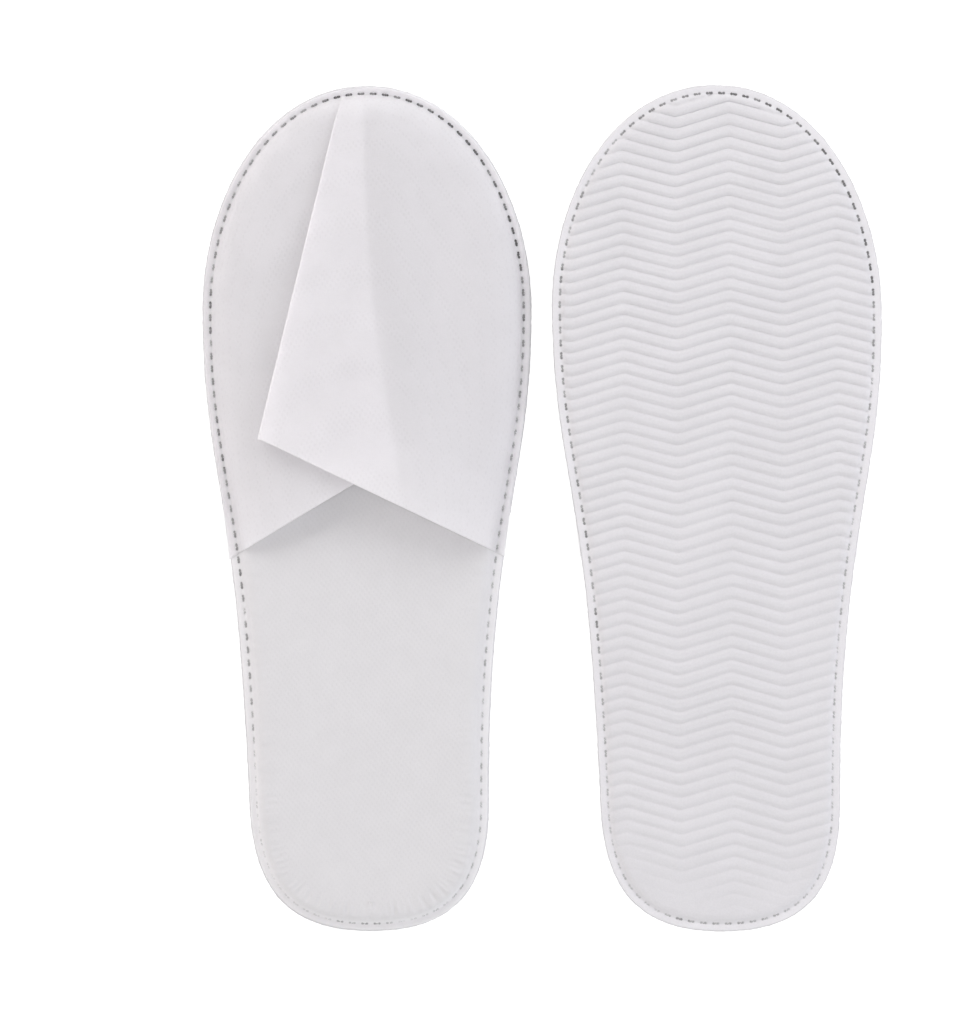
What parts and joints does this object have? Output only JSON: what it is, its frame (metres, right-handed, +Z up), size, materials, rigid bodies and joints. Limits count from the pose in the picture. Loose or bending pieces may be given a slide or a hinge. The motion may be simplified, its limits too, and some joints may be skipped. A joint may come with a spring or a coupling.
{
  "type": "spa slippers",
  "caption": "Flat disposable closed-toe spa slippers with a pleated fabric upper, padded footbed and chevron foam sole, lying side by side, sole down and sole up.",
  "frame": {"origin": "on the floor, under the middle of the pair's box", "axes": "+Z up from the floor, +Y to the toes, +X to the right; the standing slipper is at -X and the turned one at +X"},
  "size_m": [0.2292, 0.285, 0.0178],
  "materials": {
    "outsole_foam": "matt white closed-cell foam, embossed with chevrons",
    "pad_foam": "open white sponge",
    "footbed_fabric": "matt white nonwoven laminated to the sponge",
    "upper_fabric": "thin white spunbonded nonwoven, faintly see-through, fine point bonds",
    "seam_thread": "light grey twisted sewing thread"
  },
  "bodies": {
    "standing_slipper": {"standing_outsole": "outsole_foam", "standing_footbed_pad": "pad_foam", "standing_footbed_cover": "footbed_fabric", "standing_upper_margin": "upper_fabric", "standing_needle_thread": "seam_thread", "standing_bobbin_thread": "seam_thread"},
    "standing_upper": {"standing_upper_flap": "upper_fabric"},
    "turned_slipper": {"turned_outsole": "outsole_foam", "turned_footbed_pad": "pad_foam", "turned_footbed_cover": "footbed_fabric", "turned_upper_margin": "upper_fabric", "turned_needle_thread": "seam_thread", "turned_bobbin_thread": "seam_thread"},
    "turned_upper": {"turned_upper_flap": "upper_fabric"}
  },
  "joints": [
    {"name": "standing_upper_opening", "type": "hinge", "parent": "standing_slipper", "child": "standing_upper", "pos_m": [-0.05915, 0.13415, 0.00975], "axis": [-1, 0, 0], "range_deg": [0, 18]},
    {"name": "turned_slipper_pick_up", "type": "slide", "parent": "standing_slipper", "child": "turned_slipper", "axis": [0, 0, 1], "range_m": [0, 0.3]},
    {"name": "turned_upper_opening", "type": "hinge", "parent": "turned_slipper", "child": "turned_upper", "pos_m": [0.05915, 0.13415, 0.0006], "axis": [1, 0, 0], "range_deg": [0, 18]}
  ],
  "couplings": [
    {"joint": "turned_upper_opening", "follows": "turned_slipper_pick_up", "rad_per_m": 1}
  ]
}
